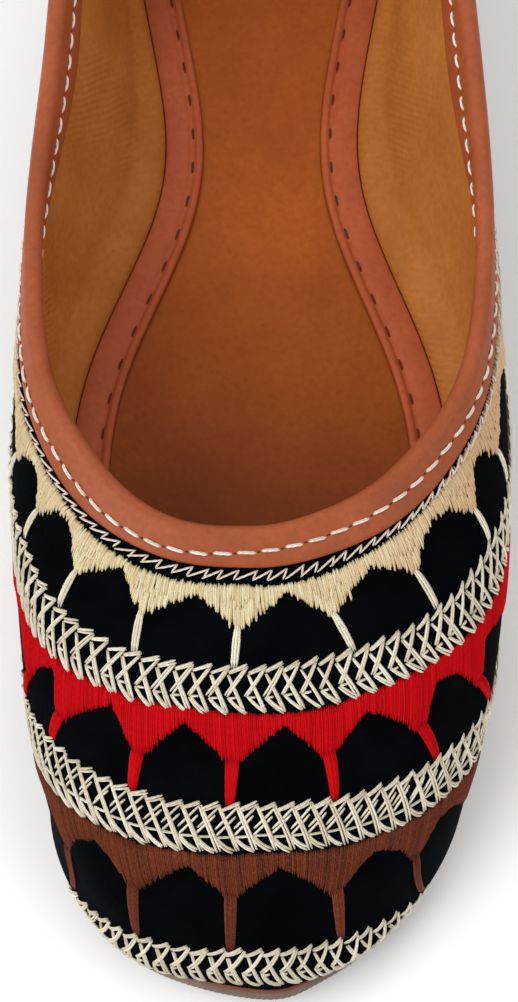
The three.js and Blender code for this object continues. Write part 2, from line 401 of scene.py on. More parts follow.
outsole = formed("outsole_leather", 1740, 16, lambda u, v: plate(u * RING, v, outsole_edge))
sole_finish = leather("sole_leather", (0.15, 0.10, 0.075), (0.27, 0.195, 0.15), 0.75, grain=0.1,
                      mottle=45.0)
seat(outsole, sole_finish, "sole_leather", "outsole")

# Midsole
# A thin leather plate between the sole and the upper, dyed terracotta like the binding. Only its edge
# shows, as a fine pinkish line round the foot of the shoe.
MIDSOLE_MARGIN = 0.3
MIDSOLE_EASE = 0.25


def midsole_edge(t, w):
    ease = MIDSOLE_EASE * np.abs(2 * w - 1) ** 4
    return MIDSOLE_MARGIN - ease, MIDSOLE_BOTTOM + MIDSOLE_THICKNESS * w


midsole = formed("midsole_leather", 480, 14, lambda u, v: plate(u * RING, v, midsole_edge))
midsole_finish = leather("midsole_leather", (0.15, 0.035, 0.022), (0.27, 0.075, 0.05), 0.7)
seat(midsole, midsole_finish, "midsole_leather", "midsole")

# Insole
# A footbed of thin orange-brown leather over board, laid inside the upper from wall to wall. It is rubbed
# smooth, and painted shade darkens its colour towards the toe, where the vamp shades it.
INSOLE_THICKNESS = 2.8
INSOLE_EASE = 0.2
STRIP_THICKNESS = 1.5
STRIP_WIDTH = 6.7
INSOLE_TOP = UPPER_BOTTOM + INSOLE_THICKNESS
STRIP_BOTTOM = INSOLE_TOP + CLEARANCE


def inside_inset(t):
    """How far the wall's inside stands in from the foot line, with the clearance, up to the strip's top."""
    inset = (WALL + CLEARANCE) / np.cos(lean(t))
    foot = sole_point(t, np.zeros_like(t), UPPER_BOTTOM)
    out = outward(foot_x, foot_y, t)
    top = foot[:, 2] + STRIP_BOTTOM + STRIP_THICKNESS - UPPER_BOTTOM
    for v in np.linspace(0.01, 0.3, 30):
        inside = layer(t, np.full_like(t, v), -WALL - CLEARANCE)
        gap = ((foot - inside) * out).sum(axis=-1)
        inset = np.where(inside[:, 2] < top, np.maximum(inset, gap), inset)
    return inset


inset_grid = inside_inset(ring_grid)


def inside_margin(t):
    return -np.interp(np.mod(t, RING), ring_grid, inset_grid)


def insole_edge(t, w):
    ease = INSOLE_EASE * np.abs(2 * w - 1) ** 4
    return inside_margin(t) - ease, UPPER_BOTTOM + INSOLE_THICKNESS * w


insole = formed("insole_leather", 480, 40, lambda u, v: plate(u * RING, v, insole_edge))
insole_finish = leather("insole_leather", (0.335, 0.072, 0.008), (0.43, 0.103, 0.012), 0.5,
                        grain=0.07, gloss=0.12)
footbed_y = insole_finish.part(insole_finish.place(), 1)
# Painted shade: the footbed's colour darkens towards the toe, deep under the vamp.
toe_painted_shade = (footbed_y * 14.0 + 0.5).falling(0.0, 0.75)
insole_finish.set(Base_Color=insole_finish.mix(toe_painted_shade * 0.55, insole_finish.colour, (0.10, 0.018, 0.002)))
seat(insole, insole_finish, "insole_leather", "insole")

# Insole edge strip
# A border of folded terracotta leather, sewn to the footbed all the way round: a broad soft lobe along
# the wall, a groove with a dark stitch about every seven millimetres, and a narrow bead along the
# footbed.
LOBE_ACROSS = 0.30
LOBE_HALF = 0.43
GROOVE_ACROSS = 0.73
GROOVE_HALF = 0.12
GROOVE_HEIGHT = 0.6
BEAD_ACROSS = 0.87
BEAD_HALF = 0.14
BEAD_HEIGHT = 0.85
PRESSED_OUT = 0.25
STRIP_TOP_SHARE = 0.75


def strip_height(across):
    """The height of the strip's top, with places and widths as shares of its width."""
    lobe = np.clip(1 - np.abs((across - LOBE_ACROSS) / LOBE_HALF) ** 2.6, 0, None) ** 0.5
    bead = BEAD_HEIGHT * np.clip(1 - np.abs((across - BEAD_ACROSS) / BEAD_HALF) ** 2.4, 0, None) ** 0.5
    groove = GROOVE_HEIGHT * (np.abs(across - GROOVE_ACROSS) < GROOVE_HALF)
    return STRIP_THICKNESS * np.maximum(np.maximum(lobe, bead), groove)


def on_strip(t, across, up):
    """A point across the strip, from the wall at 0 to the footbed's side at 1."""
    inset = across * (STRIP_WIDTH + PRESSED_OUT) - PRESSED_OUT
    return sole_point(t, inside_margin(t) - inset, STRIP_BOTTOM + up)


def strip_form(u, v):
    t = u * RING
    across = np.where(v < STRIP_TOP_SHARE, v / STRIP_TOP_SHARE, (1 - v) / (1 - STRIP_TOP_SHARE))
    up = np.where((v > 0.001) & (v < STRIP_TOP_SHARE), strip_height(across), 0)
    return on_strip(t, across, up)


strip = formed("edge_strip_leather", 480, 48, strip_form)
strip_finish = leather("strip_leather", (0.37, 0.078, 0.024), (0.48, 0.11, 0.04), 0.5, grain=0.06,
                       gloss=0.15)
seat(strip, strip_finish, "strip_leather", "insole_edge_strip")


def copies(name, places, faces, tones, lengths, turns):
    """One mesh of many like threads. places is an array of threads by corners by 3, and faces those of
    the first one. Each thread has a tone, and its Twist map holds the length along it and the turn
    round it."""
    count, corners = places.shape[:2]
    sizes = np.array([len(face) for face in faces])
    loops = np.concatenate([np.array(face) for face in faces])
    mesh = bpy.data.meshes.new(name)
    mesh.vertices.add(count * corners)
    mesh.vertices.foreach_set("co", (places * MM).astype(np.float32).ravel())
    mesh.loops.add(count * len(loops))
    shifted = (loops[None, :] + corners * np.arange(count)[:, None]).ravel()
    mesh.loops.foreach_set("vertex_index", shifted)
    mesh.polygons.add(count * len(sizes))
    starts = np.concatenate([[0], np.cumsum(sizes)[:-1]])
    all_starts = (starts[None, :] + len(loops) * np.arange(count)[:, None]).ravel()
    mesh.polygons.foreach_set("loop_start", all_starts)
    mesh.polygons.foreach_set("use_smooth", np.ones(count * len(sizes), bool))
    mesh.update(calc_edges=True)
    tone = mesh.attributes.new("tone", "FLOAT", "POINT")
    tone.data.foreach_set("value", np.repeat(tones, corners).astype(np.float32))
    twist = mesh.uv_layers.new(name="Twist")
    both = np.stack([lengths.reshape(-1), np.tile(turns, count)], axis=-1)[shifted]
    twist.data.foreach_set("uv", both.astype(np.float32).ravel())
    mesh.validate()
    return put(name, mesh)


def rod(rings, sides):
    """The corners of a straight rod, the ring that each is on, and its faces. Threads are bent from it."""
    made = bmesh.new()
    bmesh.ops.create_cone(made, cap_ends=True, segments=sides, radius1=1, radius2=1, depth=1)
    long_edges = [edge for edge in made.edges if abs(edge.verts[0].co.z - edge.verts[1].co.z) > 0.5]
    bmesh.ops.subdivide_edges(made, edges=long_edges, cuts=rings - 2, use_grid_fill=True)
    bmesh.ops.recalc_face_normals(made, faces=made.faces)
    made.verts.index_update()
    corners = np.array([vert.co[:] for vert in made.verts])
    faces = [[vert.index for vert in face.verts] for face in made.faces]
    made.free()
    return corners, np.rint((corners[:, 2] + 0.5) * (rings - 1)).astype(int), faces


def threads(name, path, up, radius, sides=6, flat=0.8, tones=None, tips=0.55):
    """Sewn threads. path and up are arrays of threads by points by 3. flat is a thread's height over
    its width, and tips the share of the radius that is left at its ends."""
    count, rings = path.shape[:2]
    corners, ring, faces = rod(rings, sides)
    along = unit(np.gradient(path, axis=1))
    side = unit(np.cross(along, up))
    up = unit(np.cross(side, along))
    fullness = np.ones(rings)
    fullness[0] = fullness[-1] = tips
    thick = radius * fullness[ring][None, :, None]
    aside = corners[:, 0, None] * side[:, ring]
    above = flat * corners[:, 1, None] * up[:, ring]
    places = path[:, ring] + thick * (aside + above)
    steps = np.linalg.norm(np.diff(path, axis=1), axis=-1)
    lengths = np.concatenate([np.zeros((count, 1)), np.cumsum(steps, axis=1)], axis=1)[:, ring]
    turns = (np.arctan2(corners[:, 0], corners[:, 1]) / (2 * math.pi)) % 1.0
    if tones is None:
        tones = np.zeros(count)
    return copies(name, places, faces, tones, lengths, turns)


def thread(name, deep, light, roughness, ply=0.9, twist_depth=0.06, gloss=0.2):
    """Spun thread: its plies wind round it as ridges with painted shade between them, and each strand has a
    tone of its own.
    """
    finish = Finish(name, Specular_IOR_Level=gloss)
    twist = finish.node("ShaderNodeUVMap", {"uv_map": "Twist"})
    length = finish.part(twist, 0)
    turn = finish.part(twist, 1)
    winding = (length * (2 * math.pi / ply) + turn * (4 * math.pi)).sine()
    fibre = finish.noise(2600.0, 2.0, 0.6)
    tone = finish.attribute("tone")
    patches = finish.noise(140.0, 2.0, 0.5)
    share = tone * 0.7 + patches * 0.5 - 0.1
    colour = finish.mix(share.rising(0.0, 1.0), deep, light)
    # Painted shade: the colour darkens along the winding, in the grooves between the plies.
    finish.colour = finish.mix(winding * 0.12 + 0.12, colour, tuple(0.4 * c for c in deep))
    height = winding * 0.7 + fibre * 0.5
    finish.set(Base_Color=finish.colour, Roughness=roughness, Normal=finish.bump(height, twist_depth))
    return finish


STRIP_STITCH_PITCH = 6.8
STRIP_STITCH_LENGTH = 2.6
STRIP_STITCH_RADIUS = 0.22
STRIP_STITCH_ARCH = (-0.15, 0.06, 0.1, 0.06, -0.15)
groove_run = run_along(on_strip(ring_grid, GROOVE_ACROSS, 0.0))
stitch_count = int(groove_run[-1] / STRIP_STITCH_PITCH)
stitch_run = (np.arange(stitch_count)[:, None] * groove_run[-1] / stitch_count
              + np.linspace(-0.5, 0.5, 5)[None, :] * STRIP_STITCH_LENGTH)
stitch_t = np.interp(stitch_run % groove_run[-1], groove_run, ring_grid)
stitch_height = GROOVE_HEIGHT * STRIP_THICKNESS + np.array(STRIP_STITCH_ARCH)[None, :]
strip_stitches = threads(
    "strip_stitches", on_strip(stitch_t, GROOVE_ACROSS, stitch_height),
    np.broadcast_to([0.0, 0.0, 1.0], stitch_t.shape + (3,)), STRIP_STITCH_RADIUS)
# The strip's stitches are dark thread; the same finish paints the shade in the binding's stitch holes.
dark_thread_and_hole_shade = thread("dark_thread_and_hole_shade", (0.14, 0.028, 0.016), (0.20, 0.042, 0.027), 0.8)
seat(strip_stitches, dark_thread_and_hole_shade, "strip_leather")

# Upper
# Black cotton velvet on a leather backing, with a thin tan leather lining inside. Both are one wall, cut
# from a single pattern, with no seam that shows. The velvet bulges over the sole beside the toe, and the
# lining's foot is pressed in to the edge of the strip.
VELVET = 1.1
OVERHANG = 1.5
OVERHANG_TOP = 0.17
LINING_GAP = 0.05
DRAWN_IN = 5.0


def overhang(t, v):
    """How far the velvet bulges out over the sole's edge, low down on both sides of the toe."""
    side = np.abs((t + RING / 2) % RING - RING / 2)
    around = np.interp(side, (0.4, 1.7, 3.0, 5.0), (0, 1, 1, 0))
    return OVERHANG * around**2 * (3 - 2 * around) * np.clip(1 - v / OVERHANG_TOP, 0, 1) ** 1.5


def shell(low, high, hangs=False):
    """A closed skin of the wall between two distances from its outside; its outer face may overhang."""

    def form(u, v):
        t = u * RING
        outer = v < 0.5
        up = np.where(outer, v / 0.5, (1 - v) / 0.5)
        distance = np.where(outer, high + hangs * overhang(t, up), low)
        place = layer(t, up, distance)
        floor = bed(place[:, 1]) + UPPER_BOTTOM
        place[:, 2] = np.maximum(place[:, 2], floor)
        place[:, 2] = np.where(up < 1e-6, floor, place[:, 2])
        return place

    return form


velvet = formed("upper_velvet", 360, 80, shell(-VELVET, 0.0, hangs=True))
velvet_finish = Finish("velvet", Sheen_Weight=0.02, Sheen_Roughness=0.3, Sheen_Tint=(0.3, 0.4, 0.6, 1),
                       Specular_IOR_Level=0.02)
pile = velvet_finish.noise(1900.0, 3.0, 0.7)
nap = velvet_finish.noise(90.0, 3.0, 0.55)
lint = velvet_finish.cells(420.0).falling(0.035, 0.055)
lint_here = velvet_finish.noise(230.0, 2.0, 0.5).rising(0.66, 0.72)
pile_colour = velvet_finish.mix(nap.rising(0.35, 0.7), (0.0004, 0.0006, 0.0009), (0.0016, 0.002, 0.003))
pile_colour = velvet_finish.mix(lint * lint_here * 0.3, pile_colour, (0.2, 0.23, 0.27))
velvet_finish.set(Base_Color=pile_colour, Roughness=nap * 0.15 + 0.8, Normal=velvet_finish.bump(pile, 0.25))
seat(velvet, velvet_finish, "velvet", "upper")


def lining_form(u, v):
    """The lining. Low down it is drawn in to the edge of the strip, so that no gap is left there."""
    t = u * RING
    place = shell(-WALL, -VELVET - LINING_GAP)(u, v)
    out = outward(foot_x, foot_y, t)
    inset = ((sole_point(t, np.zeros_like(t), 0.0) - place) * out).sum(axis=-1)
    gap = np.clip(-inside_margin(t) - PRESSED_OUT - inset, 0, None)
    over_strip = place[:, 2] - bed(place[:, 1]) - STRIP_BOTTOM - STRIP_THICKNESS
    share = np.clip(1 - over_strip / DRAWN_IN, 0, 1)
    move = np.where(v > 0.5, gap * share**2 * (3 - 2 * share), 0)
    return place - move[:, None] * out


lining = formed("quarter_lining", 360, 80, lining_form)
lining_finish = leather("lining_leather", (0.38, 0.125, 0.022), (0.50, 0.180, 0.038), 0.6, grain=0.05,
                        pores=700.0, gloss=0.15)
lining_y = lining_finish.part(lining_finish.place(), 1)
lining_z = lining_finish.part(lining_finish.place(), 2)
ripple = (lining_y * 4600.0 + lining_z * 3200.0 + lining_finish.noise(120.0, 3.0, 0.5) * 9.0).sine()
rippled = lining_finish.noise(38.0, 2.0, 0.5).rising(0.45, 0.62)
# Painted light and shade: the colour darkens along one side of each ripple, as a wrinkle is shaded.
lining_colour_and_ripple_shade = lining_finish.mix(ripple * rippled * 0.1 + 0.1, lining_finish.colour, (0.30, 0.09, 0.012))
lining_bump = lining_finish.bump(ripple * rippled * 0.5 + lining_finish.height, 0.08)
lining_finish.set(Base_Color=lining_colour_and_ripple_shade, Normal=lining_bump)
seat(lining, lining_finish, "velvet", "upper")

# Collar binding
# A strip of terracotta leather folded over the collar, skived thin at its edges and sewn through with
# thick white thread, so the running stitch shows on both faces.
BINDING_LEATHER = 0.65
BINDING_SKIVED = 0.05
BINDING_UNDER = 0.03
OUTSIDE_SHARE = 0.7
INSIDE_SHARE = 0.3
THREAD_GROOVE = 0.16
THREAD_GROOVE_WIDTH = 0.5
QUARTER_TURN = math.pi / 2
FOLD_LENGTH = QUARTER_TURN * WALL / 2


def line(*knots):
    """A closed curve of lengths below the collar, through knots of ring position and length. Ring
    positions are negative on the left side, and past its outermost knots the line stays level."""
    stations = np.arange(RING)
    stations = np.where(stations > RING / 2, stations - RING, stations)
    return closed_curve(np.interp(stations, *zip(*knots)))


binding_foot = line((-4, 5.2), (-3, 5.9), (-2, 5.5), (-1, 5.2), (0, 5.3), (1, 5.5), (2, 5.8), (3, 5.75),
                    (4, 5.2))
binding_inside = line((-12, 6.5), (-8, 7.5), (-5, 8.0), (-2, 6.0), (0, 5.5), (2, 6.0), (5, 8.0), (8, 7.5),
                      (12, 6.5))
stitch_line = line((-12, 3.3), (-4, 3.4), (-3, 3.6), (-2, 3.7), (-1, 3.4), (0, 2.95), (1, 2.6), (4, 2.65),
                   (5, 2.7), (12, 3.0))


def over_edge(t, q, lift):
    """A point a length q round the folded edge, outside below 0 and inside above it, lift off the wall."""
    leg = np.clip(np.abs(q) - FOLD_LENGTH, 0, None)
    distance = np.where(q < 0, lift, -WALL - lift)
    on_leg = layer(t, wall_share(t, leg), distance)
    angle = np.clip(QUARTER_TURN + q * 2 / WALL, 0, math.pi)
    top = np.ones_like(t)
    radius = (WALL / 2 + lift)[..., None]
    on_fold = (layer(t, top, -WALL / 2 * top) + radius * np.cos(angle)[..., None] * wall_out(t, top)
               + radius * np.sin(angle)[..., None] * wall_up(t, top))
    return np.where((leg > 0)[..., None], on_leg, on_fold)


def binding_form(u, v):
    t = u * RING
    top = v < OUTSIDE_SHARE
    side = np.where(top, -np.cos(math.pi * v / OUTSIDE_SHARE),
                    np.cos(math.pi * (v - OUTSIDE_SHARE) / INSIDE_SHARE))
    reach_here = FOLD_LENGTH + np.where(side < 0, binding_foot(t), binding_inside(t))
    q = side * reach_here
    full = np.clip(1 - np.abs(side) ** 14, 0, 1) ** 0.5 * (1 - 0.25 * np.abs(side) ** 3)
    off_stitches = np.abs(q) - stitch_line(t) - FOLD_LENGTH
    groove = THREAD_GROOVE * np.exp(-((off_stitches / THREAD_GROOVE_WIDTH) ** 2))
    face = BINDING_SKIVED + (BINDING_LEATHER - BINDING_SKIVED) * full - groove
    lift = np.where(top & (np.abs(side) < 0.9999), face, BINDING_UNDER)
    return over_edge(t, q, lift)


binding = formed("collar_binding_leather", 480, 64, binding_form)
binding_finish = leather("binding_leather", (0.275, 0.061, 0.018), (0.365, 0.085, 0.029), 0.5, grain=0.06)
seat(binding, binding_finish, "binding_leather", "collar_binding")

DASH_PITCH = 3.95
DASH_LENGTH = 2.95
DASH_RADIUS = 0.29
DASH_SUNK = 0.3
DASH_ARCH = 0.38
DASH_SLANT = 0.25
HOLE_LENGTH = 0.6
HOLE_RADIUS = 0.23
HOLE_DEPTH = 0.2
white_thread = thread("white_thread", (0.78, 0.63, 0.50), (0.92, 0.84, 0.74), 0.6, ply=1.1)


def sewn_through(name, sign, t, q, lift, radius, **shape):
    """Threads, or dark rods of painted hole shade, on the outside of the binding, where sign is -1, or on
    its inside.
    """
    out = -sign * wall_out(t, wall_share(t, np.abs(q) - FOLD_LENGTH))
    return threads(name, over_edge(t, q, lift), out, radius, **shape)


dash_shape = np.linspace(-0.5, 0.5, 7)[None, :]
hole_shape = np.linspace(-0.5, 0.5, 3)[None, :]
for face, sign in (("outer", -1), ("inner", 1)):
    run_t = np.linspace(-RING / 2, RING / 2, 1201)
    run_q = sign * (stitch_line(run_t) + FOLD_LENGTH)
    run = run_along(over_edge(run_t, run_q, np.full_like(run_t, BINDING_LEATHER)))
    dash_count = round(run[-1] / DASH_PITCH)
    dash_run = (np.arange(dash_count)[:, None] + 0.5) * run[-1] / dash_count
    chance = np.random.default_rng(5).uniform(-1, 1, (dash_count, 2))
    dash_t = np.interp(dash_run + dash_shape * (DASH_LENGTH + 0.15 * chance[:, :1]), run, run_t)
    dash_q = sign * (stitch_line(dash_t) + FOLD_LENGTH + 0.08 * chance[:, 1:] + DASH_SLANT * dash_shape)
    dash_lift = BINDING_LEATHER - DASH_SUNK + DASH_ARCH * np.cos(math.pi * dash_shape) ** 0.6 + 0 * dash_t
    dash_tones = np.random.default_rng(6).uniform(0, 1, dash_count)
    dashes = sewn_through(f"binding_stitches_{face}", sign, dash_t, dash_q, dash_lift, DASH_RADIUS, sides=8,
                          tones=dash_tones, tips=0.7)
    seat(dashes, white_thread, "binding_leather")
    # Painted shade: a short dark rod sunk in each stitch hole, between the dashes, stands in for the shade
    # in the hole.
    hole_run = np.arange(dash_count)[:, None] * run[-1] / dash_count
    hole_t = np.interp(hole_run + hole_shape * HOLE_LENGTH, run, run_t)
    hole_q = sign * (stitch_line(hole_t) + FOLD_LENGTH)
    hole_lift = np.full(hole_t.shape, BINDING_LEATHER - HOLE_DEPTH)
    hole_shade = sewn_through(f"binding_hole_shade_{face}", sign, hole_t, hole_q, hole_lift, HOLE_RADIUS, flat=0.5)
    seat(hole_shade, dark_thread_and_hole_shade, "binding_leather")

# Zigzag
# One fine white thread laid in leaning zigzags on the narrow strip of bare velvet beside the binding. It
# pierces the velvet at each turn.
ZIGZAG_PITCH = 2.7
ZIGZAG_RADIUS = 0.18
FOOT_EDGE = 0.4
# Each zigzag has two strokes: from a distance along the band and a share across it, to the next, and the
# lift of the one that lies on top.
ZIGZAG_STROKES = ((-1.9, 1.0, 1.6, 0.0, 0.14), (1.6, 0.0, 0.75, 1.0, 0.0))
ZIGZAG_LEAST_WIDTH = 0.95


def on_upper(t, below, lift):
    """A point on the velvet, a length below the collar but not under the sole, and the way out of it."""
    share = wall_share(t, np.minimum(below, wall_length(t) - FOOT_EDGE))
    place = layer(t, share, lift + overhang(t, share))
    place[..., 2] = np.maximum(place[..., 2], bed(place[..., 1]) + UPPER_BOTTOM + 0.2)
    return place, wall_out(t, share)


class Band:
    """Distances w along a band, in millimetres from the middle of the toe, and the ring positions
    there. The band is sewn from -end to end; its distances go on past the heel, so that a row can
    close there."""

    def __init__(self, middle, end=RING / 2):
        self.t = np.linspace(-RING / 2 - 3, RING / 2 + 3, 2401)
        track = on_upper(self.t, middle(self.t), 0.0)[0]
        self.run = run_along(track)
        self.run = self.run - np.interp(0, self.t, self.run)
        self.first = self.along(-end)
        self.last = self.along(end)
        self.whole = self.along(RING / 2) - self.along(-RING / 2)

    def at(self, w):
        return np.interp(w, self.run, self.t)

    def along(self, t):
        return np.interp(t, self.t, self.run)

    def every(self, pitch):
        count = int((self.last - self.first) / pitch)
        return self.first + (np.arange(count) + 0.5) * (self.last - self.first) / count


satin_top = line((-12, 6.0), (-6, 6.6), (-5, 7.0), (-4, 7.2), (-3, 7.3), (-2, 7.8), (-1, 8.1), (0, 8.1),
                 (1, 8.5), (2, 7.6), (3, 6.5), (4, 5.7), (12, 5.6))
zigzag_band = Band(satin_top)
zigzag_w = zigzag_band.every(ZIGZAG_PITCH)
zigzag_chance = np.random.default_rng(11)
shift = zigzag_chance.uniform(-0.2, 0.2, (len(zigzag_w), 4))
zigzag_paths = []
zigzag_ups = []
share = np.linspace(0, 1, 5)[None, :]
for w0, far0, w1, far1, over in ZIGZAG_STROKES:
    t = zigzag_band.at(zigzag_w[:, None] + w0 + shift[:, :1] + (w1 - w0 + shift[:, 1:2]) * share)
    gap = satin_top(t) - binding_foot(t)
    near = binding_foot(t) + 0.1 + 0.22 * np.maximum(gap - 1.2, 0)
    width = np.maximum(0.56 * gap, ZIGZAG_LEAST_WIDTH)
    below = near + (far0 + (far1 - far0) * share + 0.4 * shift[:, 2:3]) * width
    on_silk = below > satin_top(t) - 0.2
    lift = 0.2 + over + 0.14 * np.sin(math.pi * share) + 0.35 * on_silk
    path, out = on_upper(t, below, lift)
    zigzag_paths.append(path)
    zigzag_ups.append(out)
zigzag = threads("zigzag_stitch", np.concatenate(zigzag_paths), np.concatenate(zigzag_ups), ZIGZAG_RADIUS,
                 sides=5, tones=zigzag_chance.uniform(0, 1, 2 * len(zigzag_w)))
seat(zigzag, white_thread, "velvet")

# Satin stitch
# Three rows of threads laid side by side towards the toe: cream by the collar, then red, then brown. Each
# row leaves peaked petals of bare velvet below, parted by narrow stems of thread.
SATIN_PITCH = 0.31
SATIN_RADIUS = 0.215
SATIN_ARCH = (-0.14, 0.16, 0.25, 0.25, 0.16, -0.14)
SATIN_LAP = 0.5
SHORTEST_STITCH = 0.7
ROOM_AT_FOOT = 1.5
SIDE_BULGE = 0.2
STEM_PITCH = 16.5
STEM_START = 1.1
STEM_TUCK = 0.7
STEM_ROUND = 0.12
braid_tops = (
    line((-8, 18.0), (-5, 19.0), (-4, 19.2), (-3, 19.4), (-2, 21.0), (-1, 21.2), (0, 21.2), (1, 21.2),
         (2, 22.0), (3, 21.9), (4, 21.6), (5, 21.0), (8, 18.0)),
    line((-2, 43.0), (-1, 43.8), (0, 43.6), (1, 44.5), (2, 46.5), (3, 47.6)),
    line((-3, 76.5), (-2, 74.0), (-1, 70.7), (0, 69.2), (1, 70.4), (2, 74.0), (3, 76.5)),
)
braid_feet = (
    line((-8, 26.5), (-4, 28.4), (-3, 29.6), (-2, 30.0), (-1, 29.5), (0, 29.1), (1, 29.5), (2, 30.6),
         (3, 32.2), (4, 32.2), (5, 30.5), (8, 26.5)),
    line((-2, 53.7), (-1, 52.8), (0, 52.0), (1, 53.0), (2, 56.1), (3, 57.2)),
    line((-12, 86.0), (-2, 84.0), (-1, 79.6), (0, 78.2), (1, 79.2), (2, 84.0), (12, 86.0)),
)
# For each row: its upper line, the lines of the petals' peaks and of the stems' tips, and the ring
# positions of the peaks, tips and stem feet that show. Then a stem's threads and its width at three
# places, the share by which a petal's sides bulge, half the width of a stem's shoulder, how ragged the
# edge is, the longest stitch before a thread is sewn down, and how far round the row reaches.
SATIN_ROWS = {
    "cream": dict(
        top=satin_top,
        peak=line((-12, 9.2), (-4, 9.4), (-3, 9.1), (-2, 9.3), (-1, 9.7), (0, 9.8), (1, 10.0), (2, 10.3),
                  (3, 9.4), (4, 9.6), (5, 10.0), (12, 9.2)),
        tip=line((-12, 13.4), (-4, 13.8), (-3, 13.7), (-2, 14.8), (-1, 15.1), (0, 15.5), (1, 15.6),
                 (2, 14.8), (3, 15.4), (4, 13.9), (12, 13.4)),
        peaks=(-3.33, -2.5, -1.58, -0.67, 0.75, 1.75, 2.58, 3.42),
        tips=(-3.75, -3.0, -2.08, -1.25, -0.08, 1.25, 2.17, 3.17, 3.83),
        feet=(-3.95, -3.17, -2.17, -1.25, -0.17, 1.42, 2.33, 3.33, 4.0),
        stem_threads=3, stem_widths=(0.95, 1.35, 1.15),
        bulge=0.03, shoulder=0.5, ragged=0.3, longest=5.0, end=12.0),
    "red": dict(
        top=lambda t: braid_feet[0](t) - 1.2 + 1.3 * np.exp(-((t - 0.6) ** 2)),
        peak=line((-3, 31.0), (-2, 31.2), (-1, 31.2), (0, 31.0), (1, 32.0), (2, 33.4), (3, 35.5)),
        tip=line((-2, 38.6), (-1, 38.0), (0, 37.4), (1, 37.9), (2, 40.3), (3, 41.9)),
        peaks=(-2.08, -1.42, -0.75, 0.58, 1.5, 2.25, 3.0),
        tips=(-2.67, -2.0, -1.17, -0.25, 1.08, 2.08, 2.92),
        feet=(-2.9, -2.17, -1.25, -0.33, 1.17, 2.33, 3.25),
        stem_threads=7, stem_widths=(2.4, 2.1, 1.5),
        bulge=0.04, shoulder=1.0, ragged=0.16, longest=12.0, end=5.6),
    "brown": dict(
        top=lambda t: braid_feet[1](t) + 0.1 - 0.6 * (1 - np.exp(-(t**2) / 2)),
        peak=line((-2, 57.0), (-1, 55.4), (0, 54.6), (1, 55.9), (2, 58.7), (3, 61.5)),
        tip=line((-12, 65.3), (-2, 64.0), (-1, 61.0), (0, 60.2), (1, 61.5), (2, 64.7), (3, 66.5)),
        peaks=(-1.75, -0.83, 0.42, 1.75, 2.58),
        tips=(-2.33, -1.42, -0.42, 1.33, 2.33),
        feet=(-2.5, -1.58, -0.5, 1.5, 2.5),
        stem_threads=7, stem_widths=(2.2, 2.0, 1.5),
        bulge=0.05, shoulder=1.0, ragged=0.16, longest=12.0, end=4.8),
}


def carried_on(band, marks, count):
    """Distances along a band of the marks that show, carried on evenly round the heel up to the count."""
    shown = band.along(np.array(marks))
    added = count - len(marks)
    pitch = (band.whole - shown[-1] + shown[0]) / (added + 1)
    loop = np.concatenate([shown, shown[-1] + pitch * np.arange(1, added + 1)])
    return np.concatenate([loop - band.whole, loop, loop + band.whole])


def stitched(name, finish, stitches, chance, radius, sides=5, tips=0.5):
    """Threads on the upper. Each row of stitches has ring positions, lengths below the collar and lifts."""
    paths = [on_upper(t, below, lift) for t, below, lift in stitches]
    path = np.concatenate([pair[0] for pair in paths])
    out = np.concatenate([pair[1] for pair in paths])
    tones = chance.uniform(0, 1, len(path))
    piece = threads(name, path, out, radius, sides=sides, flat=0.85, tones=tones, tips=tips)
    seat(piece, finish, "velvet")


